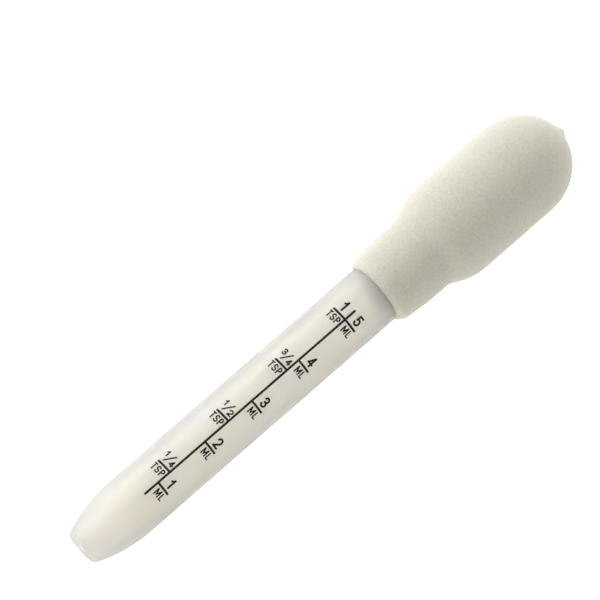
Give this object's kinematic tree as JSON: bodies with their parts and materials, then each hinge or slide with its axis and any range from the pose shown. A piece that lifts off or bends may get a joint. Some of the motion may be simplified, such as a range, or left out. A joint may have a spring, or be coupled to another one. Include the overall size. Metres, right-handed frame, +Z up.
{
  "type": "medicine dropper",
  "caption": "Squeeze-bulb medicine dropper: frosted graduated barrel with a blunt open tip, its top gripped by the collar of a soft domed bulb.",
  "frame": {"origin": "centre of the bounding box's foot, on the surface that the dropper lies on", "axes": "+X from the tip towards the bulb's dome, along the dropper as it lies, with the dropper's own axis rising 2.8 degrees towards the bulb; +Z up; the dose scale faces up"},
  "size_m": [0.127, 0.0208, 0.0217],
  "materials": {
    "frosted_barrel": "frosted translucent moulded polyethylene, satin",
    "bulb_rubber": "soft matte off-white rubber with a fine grain",
    "scale_ink": "black pad-printed ink, satin"
  },
  "bodies": {
    "barrel": {"barrel": "frosted_barrel", "scale_line_print": "scale_ink", "tsp_scale_print": "scale_ink", "ml_scale_print": "scale_ink"},
    "bulb": {"bulb": "bulb_rubber"},
    "thumb_wall": {"thumb_wall": "bulb_rubber"},
    "finger_wall": {"finger_wall": "bulb_rubber"}
  },
  "joints": [
    {"name": "bulb_pull", "type": "slide", "parent": "barrel", "child": "bulb", "axis": [0.9988, 0, 0.049], "range_m": [0, 0.02]},
    {"name": "thumb_squeeze", "type": "slide", "parent": "bulb", "child": "thumb_wall", "axis": [0, 1, 0], "range_m": [0, 0.006], "stiffness_N_per_m": 700},
    {"name": "finger_squeeze", "type": "slide", "parent": "bulb", "child": "finger_wall", "axis": [0, -1, 0], "range_m": [0, 0.006], "stiffness_N_per_m": 700}
  ],
  "couplings": [
    {"joint": "finger_squeeze", "follows": "thumb_squeeze", "ratio": 1}
  ]
}
